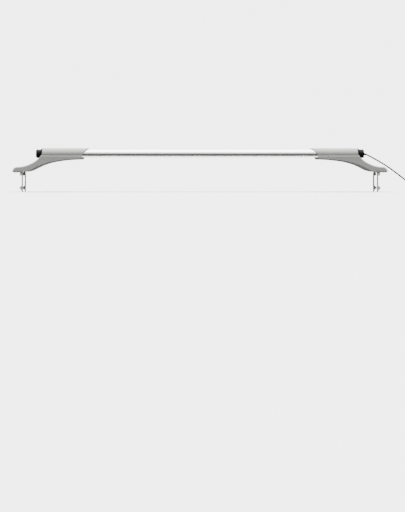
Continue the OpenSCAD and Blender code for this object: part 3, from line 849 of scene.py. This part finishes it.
def make_foot_pads():
    """Rubber pads with rounded edges and a row of shallow grip grooves across the sole."""
    inset = 1.4
    plan = [(p[0] + inset, p[1] - inset) for p in [PLAN[0], *along(PLAN, 24)]]
    front, back = 2.0, 17.5
    half = [(back, lookup(plan, back))] + [p for p in reversed(plan) if front < p[0] < back]
    half += [(front, lookup(plan, front))]
    outline = [(TIP_X - u, y) for u, y in half] + [(TIP_X - u, -y) for u, y in reversed(half)]
    grooves = [
        outline_solid("groove", [circle_points((TIP_X - u, -0.25), 0.55, 16)], ACROSS, -40, 40)
        for u in (5.5, 8.5, 11.5, 14.5)
    ]
    right = cut(outline_solid("pad", [outline], FLAT, 0, PAD_T, bevel=0.25), *grooves)
    right.name = "foot_rubber_right"
    left = mirrored(right, "foot_rubber_left")
    for side, piece in (("right", right), ("left", left)):
        finish_piece(piece, "bracket_" + side, "pad_dark", RUBBER, "foot_pad_" + side)


make_foot_pads()

# ---------------------------------------------------------------- the light bar's shells

CHANNEL_HALF = PROFILE_HALF - 3.6
WEB_Z = (48, 49.6)
PORT = (22, 51.9)
PORT_R = 1.2
TONGUE = (PROFILE_HALF - 2.4, PROFILE_HALF - 1.6)
RAIL_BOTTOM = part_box("lens_rails")[0].z / MM
RAIL_FACE = PROFILE_HALF - 3
LENS_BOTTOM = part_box("lens_cover")[0].z / MM
LENS_EDGE = PROFILE_HALF - 6.7
LENS_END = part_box("lens_cover")[1].x / MM
GROOVE_Z = 54.4


def grooved_shoulder():
    """The profile's shoulder with a fine V groove along it."""
    out = []
    points = profile_shoulder(0)
    for (y0, z0), (y1, z1) in zip(points, points[1:]):
        out.append((y0, z0))
        if z0 > GROOVE_Z >= z1:
            t = (z0 - GROOVE_Z) / (z0 - z1)
            y, z = y0 + (y1 - y0) * t, GROOVE_Z
            run = Vector((y1 - y0, z1 - z0)).normalized()
            out.append((y - run.x * 0.3, z - run.y * 0.3))
            out.append((y + run.y * 0.3, z - run.x * 0.3))
            out.append((y + run.x * 0.3, z + run.y * 0.3))
    return out + [points[-1]]


def make_profile():
    """The extrusion: a chamber over the web, two screw ports, and walls slotted for the rails' tongues."""
    foot = WALL_Z
    half = [
        *grooved_shoulder()[:-1], (PROFILE_HALF, foot + 0.3), (PROFILE_HALF - 0.3, foot),
        (TONGUE[1] + 0.05, foot), (TONGUE[1] + 0.05, foot + 2.1), (TONGUE[0] - 0.05, foot + 2.1),
        (TONGUE[0] - 0.05, foot), (CHANNEL_HALF, foot), (CHANNEL_HALF, WEB_Z[0] - 0.4),
        (CHANNEL_HALF - 0.4, WEB_Z[0])
    ]
    top = PROFILE_TOP - 1.8
    chamber = [(-18, WEB_Z[1]), (18, WEB_Z[1]), (18, top), (-18, top)]
    ports = [circle_points((k * PORT[0], PORT[1]), PORT_R, 24) for k in (-1, 1)]
    outlines = [both(half), chamber, *ports]
    profile = outline_solid("bar_profile", outlines, LENGTHWISE, -PROFILE_END, PROFILE_END)
    finish_piece(profile, "light_bar", "bar_aluminium", ALUMINIUM, "housing_profile")


def make_rails():
    """The two dark rails under the profile's walls, each with a tongue above and a hook for the lens."""
    foot, low = WALL_Z, RAIL_BOTTOM
    half = [
        (PROFILE_HALF - 0.5, foot), (PROFILE_HALF - 0.85, foot - 1.6), (PROFILE_HALF - 1.5, low + 0.5),
        (PROFILE_HALF - 1.65, low + 0.15), (PROFILE_HALF - 1.95, low), (RAIL_FACE - 1.8, low),
        (RAIL_FACE - 2, low + 0.2), (RAIL_FACE - 2, low + 1.2), (RAIL_FACE, low + 1.2), (RAIL_FACE, foot),
        (TONGUE[0], foot), (TONGUE[0], foot + 2), (TONGUE[1], foot + 2), (TONGUE[1], foot)
    ]
    rails = join("lens_rail_strips", *[
        outline_solid("rail", [[(k * y, z) for y, z in half]], LENGTHWISE, -PROFILE_END, PROFILE_END)
        for k in (1, -1)
    ])
    finish_piece(rails, "light_bar", "rail_dark", RAIL, "lens_rails")


def make_lens():
    """The clear tray under the LEDs, with fine prisms along its inside."""
    low, edge = LENS_BOTTOM, LENS_EDGE
    pitch = 1.5
    count = int((edge - 0.6) / pitch)
    prisms = []
    for k in range(count):
        prisms += [(k * pitch, low + 1.7), (k * pitch + pitch / 2, low + 1.35)]
    half = [
        *prisms, (count * pitch, low + 1.7), (edge - 0.3, low + 1.75), (edge, low + 2.6),
        (edge, RAIL_BOTTOM + 2.9), (RAIL_FACE - 0.2, RAIL_BOTTOM + 2.9),
        (RAIL_FACE - 0.2, RAIL_BOTTOM + 1.3),
        (RAIL_FACE - 2.2, RAIL_BOTTOM + 1.3), (RAIL_FACE - 2.2, low + 1.8), (RAIL_FACE - 2.5, low + 0.8),
        (edge + 0.5, low + 0.15), (edge + 0.1, low), (0, low)
    ]
    outline = half[1:] + [(-y, z) for y, z in reversed(half[1:-1])] + [half[0]]
    lens = outline_solid("lens_tray", [outline], LENGTHWISE, -LENS_END, LENS_END)
    finish_piece(lens, "light_bar", "lens_clear", LENS, "lens_cover")


make_profile()
make_rails()
make_lens()

# ---------------------------------------------------------------- end caps and gland

SEAL_T = 0.6
CAP_X0 = PROFILE_END + SEAL_T
CAP_LIP = 59             # top of the lip that stands up beside the sleeve
CAP_HALF = PROFILE_HALF + 0.1
HEAD_DEPTH = 3.4         # how deep the cap screws' heads sit
GLAND_TILT = 14
BOOT_LENGTH = 9.2


def cap_height(x):
    """Top and bottom of the end cap at x: a lip that scoops down to a level top, and a sloping base."""
    curve = [(CAP_X0 + 2.4, CAP_LIP), (CAP_X0 + 4.4, 56.8), (BAR_END - 8, 55.8), (BAR_END - 2, 56.8)]
    scoop = [(CAP_X0, CAP_LIP), curve[0], *along(curve, 24), (BAR_END, 56.9)]
    return lookup(scoop, x), 36.2 - 0.8 * (x - CAP_X0) / (BAR_END - 3 - CAP_X0)


def cap_ring(x, fall_depth):
    """The cap's outline at x, drawn in where it is less than a rounding's depth from the outer face."""
    top, low = cap_height(x)
    half = [(17, top), *along([(17, top), (26, top - 0.6), (CAP_HALF, top - 6), (CAP_HALF, 46)], 14)]
    half += along([(CAP_HALF, 46), (CAP_HALF - 0.1, 40), (28.6, low), (25, low)], 10)
    ring = []
    for i, (y, z) in enumerate(half):
        a, b = half[max(i - 1, 0)], half[min(i + 1, len(half) - 1)]
        normal = Vector((a[1] - b[1], b[0] - a[0])).normalized()
        if i in (0, len(half) - 1):
            normal = Vector((0, 1 if i == 0 else -1))
        radius = 0.9 + 1.9 * smoothstep((46 - z) / 10)
        fall = round_over(radius, max(fall_depth, 0))
        ring.append((x, y - normal.x * fall, z - normal.y * fall))
    return ring + [(x, -y, z) for x, y, z in reversed(ring)]


def make_cap(side):
    depths = [2.8, 2.2, 1.6, 1.2, 0.85, 0.55, 0.3, 0.12, 0.0]
    xs = [CAP_X0, CAP_X0 + 0.25]
    steps = 12
    xs += [CAP_X0 + 0.25 + (BAR_END - 2.8 - CAP_X0 - 0.25) * k / steps for k in range(1, steps)]
    rings = [cap_ring(x, BAR_END - x) for x in xs] + [cap_ring(BAR_END - d, d) for d in depths]
    n = len(rings[0])
    verts = [p for ring in rings for p in ring]
    faces = [(i * n + k, i * n + (k + 1) % n, (i + 1) * n + (k + 1) % n, (i + 1) * n + k)
             for i in range(len(rings) - 1) for k in range(n)]
    faces += [tuple(range(n)), tuple((len(rings) - 1) * n + k for k in range(n))]
    cutters = []
    for k in (-1, 1):
        cutters.append(turned("recess", [
            (-1, 2.8), (0, 2.8), (0.25, 2.5), (HEAD_DEPTH, 2.5), (HEAD_DEPTH + 0.01, 1.4), (20, 1.4)
        ], (BAR_END + 0.001, k * PORT[0], PORT[1]), (-1, 0, 0)))
    cap = cut(mesh_object("cap", verts, faces), *cutters)
    if side == "left":
        right_hand = cap
        cap = mirrored(right_hand, "cap_left")
        bpy.data.objects.remove(right_hand)
    cap.name = f"cap_{side}"
    finish_piece(cap, "light_bar", "cap_black", CAP_PLASTIC, "end_cap_" + side)


def make_gland():
    """Rubber flange on the cap and a tapered boot, ribbed so that it bends with the lead."""
    flange = turned("flange", [(0, 4.3), (0.9, 4.3), (1.2, 4.15), (1.4, 3.7), (1.4, 2.5)],
                    (BAR_END, 0, GLAND_Z), (1, 0, 0))
    tilt = math.radians(GLAND_TILT)
    outline = [(-0.6, 3.3), (0, 3.6), (0.5, 3.54)]
    for k in range(5):
        d = 0.8 + 1.55 * k
        r = 3.6 - 1.1 * d / BOOT_LENGTH
        outline += [(d, r - 0.05), (d + 0.2, r - 0.5), (d + 0.65, r - 0.55), (d + 0.85, r - 0.15)]
    outline += [(BOOT_LENGTH - 0.25, 2.5), (BOOT_LENGTH, 2.25)]
    boot = turned("boot", outline, (BAR_END + 1.4, 0, GLAND_Z), (math.cos(tilt), 0, -math.sin(tilt)))
    gland = join("gland_boot", flange, boot)
    finish_piece(gland, "light_bar", "gland_black", RUBBER, "cable_gland")


make_cap("right")
make_cap("left")
make_gland()

# ---------------------------------------------------------------- LEDs

LED_SIZE = (3.5, 2.8, 0.8)
LED_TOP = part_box("white_leds")[1].z / MM
LED_PITCH = 12.5
LED_FIRST = 6
LED_ROW_Y = 9
BOARD_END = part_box("led_board_right")[1].x / MM


def led_body(bm, x, y):
    """A white package, solid down to a round well that holds the phosphor."""
    hx, hy, h = LED_SIZE[0] / 2, LED_SIZE[1] / 2, LED_SIZE[2]
    well = 1.05
    n = 16
    square = []
    for k in range(n):
        a = 2 * math.pi * (k + 0.5) / n
        c, s = math.cos(a), math.sin(a)
        reach = 1 / max(abs(c), abs(s))
        square.append((c * reach, s * reach))
    rings = [
        [(px * hx, py * hy, 0) for px, py in square],
        [(px * hx, py * hy, -h + 0.15) for px, py in square],
        [(px * (hx - 0.15), py * (hy - 0.15), -h) for px, py in square],
        [(well * math.cos(2 * math.pi * (k + 0.5) / n), well * math.sin(2 * math.pi * (k + 0.5) / n), -h)
         for k in range(n)],
    ]
    loops = [[bm.verts.new(Vector((x + a, y + b, LED_TOP + c)) * MM) for a, b, c in ring] for ring in rings]
    for a, b in zip(loops, loops[1:]):
        for k in range(n):
            bm.faces.new((a[k], a[(k + 1) % n], b[(k + 1) % n], b[k]))
    bm.faces.new(loops[0])
    dome = [bm.verts.new(v.co + Vector((0, 0, 0.12 * MM))) for v in loops[-1]]
    for k in range(n):
        bm.faces.new((loops[-1][k], loops[-1][(k + 1) % n], dome[(k + 1) % n], dome[k]))
    glow = bm.faces.new(dome)
    glow.material_index = 1


def make_leds(name, node, glow, places):
    bm = bmesh.new()
    for x, y in places:
        led_body(bm, x, y)
    bmesh.ops.recalc_face_normals(bm, faces=bm.faces)
    mesh = bpy.data.meshes.new(name)
    bm.to_mesh(mesh)
    bm.free()
    leds = link(bpy.data.objects.new(name, mesh))
    mesh.materials.append(LED_BODY)
    mesh.materials.append(glow)
    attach(leds, "light_bar")
    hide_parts(node)


def steps_to(first, pitch, last):
    """Places a pitch apart, from the first to no further than the last."""
    out = []
    while first <= last + 1e-6:
        out.append(first)
        first += pitch
    return out


white_x = steps_to(LED_PITCH / 2 + LED_FIRST, LED_PITCH, BOARD_END - 5)
plant_x = steps_to(LED_PITCH + LED_FIRST, 2 * LED_PITCH, BOARD_END - 20)
make_leds("leds_white", "white_leds", LED_WHITE,
          [(s * x, y) for s in (-1, 1) for x in white_x for y in (-LED_ROW_Y, LED_ROW_Y)])
make_leds("leds_plant", "plant_leds", LED_COLOUR,
          [(s * x, 0) for s in (-1, 1) for x in plant_x])

# ---------------------------------------------------------------- CAD nodes that show as they are

for node_name, material in {
    "led_board_left": BOARD, "led_board_right": BOARD, "thermal_tape": TAPE, "board_resistors": CHIP,
    "board_link": LINK, "inner_lead_red": WIRE_RED, "inner_lead_black": WIRE_BLACK,
    "end_seal_left": SEAL, "end_seal_right": SEAL, "cap_screws_left": STEEL, "cap_screws_right": STEEL,
    "cover_screws_left": STEEL, "cover_screws_right": STEEL,
    "slide_pads_left": RUBBER, "slide_pads_right": RUBBER,
    "arm_cover_left": BRACKET_PLASTIC, "arm_cover_right": BRACKET_PLASTIC,
    "plug_barrel": NICKEL, "plug_insulator": INSULATOR,
}.items():
    mesh = NODES[node_name].data
    mesh.materials.clear()
    mesh.materials.append(material)

# ---------------------------------------------------------------- stage and light

FLOOR_RADIUS = 14
FLOOR_DROP = 0.0002      # keeps the floor's face clear of the clip tips and the coil
FLOOR_BOUNCE = 0.08      # how pale the floor is to the light, and below, to the camera
FLOOR_PAPER = 0.86
# Brightness of the studio against the height above the horizon
CEILING = [(0, 0.0), (0.15, 0.02), (0.4, 0.06), (0.6, 0.22), (0.8, 0.75), (1, 1)]
CEILING_GAIN = 15
BACKDROP = 6.0

def make_stage():
    """A pale paper floor that throws only a little light back up at the lamp."""
    mesh = bpy.data.meshes.new("floor")
    bm = bmesh.new()
    bmesh.ops.create_circle(bm, cap_ends=True, radius=FLOOR_RADIUS, segments=64)
    bm.to_mesh(mesh)
    bm.free()
    floor = link(bpy.data.objects.new("floor", mesh))
    floor.location.z = FLOOR_Z * MM - FLOOR_DROP
    g = Graph("floor_paper")
    seen = g.node("ShaderNodeLightPath").outputs["Is Camera Ray"]
    shade = g.blend(seen, (FLOOR_BOUNCE,) * 3, (FLOOR_PAPER,) * 3)
    mesh.materials.append(g.set(Base_Color=shade, Roughness=0.9, Specular_IOR_Level=0.2))


def make_light():
    """Soft studio light: a broad bright ceiling that fades to a dim room, with a pale backdrop."""
    world = bpy.data.worlds.new("studio")
    bpy.context.scene.world = world
    world.use_nodes = True
    tree = world.node_tree
    tree.nodes.clear()
    place = tree.nodes.new("ShaderNodeTexCoord")
    split = tree.nodes.new("ShaderNodeSeparateXYZ")
    ramp = tree.nodes.new("ShaderNodeValToRGB")
    gain = tree.nodes.new("ShaderNodeMath")
    light = tree.nodes.new("ShaderNodeBackground")
    backdrop = tree.nodes.new("ShaderNodeBackground")
    path = tree.nodes.new("ShaderNodeLightPath")
    chosen = tree.nodes.new("ShaderNodeMixShader")
    output = tree.nodes.new("ShaderNodeOutputWorld")
    for _ in range(len(CEILING) - 2):
        ramp.color_ramp.elements.new(0.5)
    for element, (height, strength) in zip(ramp.color_ramp.elements, CEILING):
        element.position = height
        element.color = (strength, strength, strength, 1)
    gain.operation = "MULTIPLY"
    gain.inputs[1].default_value = CEILING_GAIN
    backdrop.inputs["Strength"].default_value = BACKDROP
    tree.links.new(place.outputs["Generated"], split.inputs[0])
    tree.links.new(split.outputs["Z"], ramp.inputs["Fac"])
    tree.links.new(ramp.outputs["Color"], gain.inputs[0])
    tree.links.new(gain.outputs[0], light.inputs["Strength"])
    tree.links.new(path.outputs["Is Camera Ray"], chosen.inputs[0])
    tree.links.new(light.outputs[0], chosen.inputs[1])
    tree.links.new(backdrop.outputs[0], chosen.inputs[2])
    tree.links.new(chosen.outputs[0], output.inputs[0])


make_stage()
make_light()
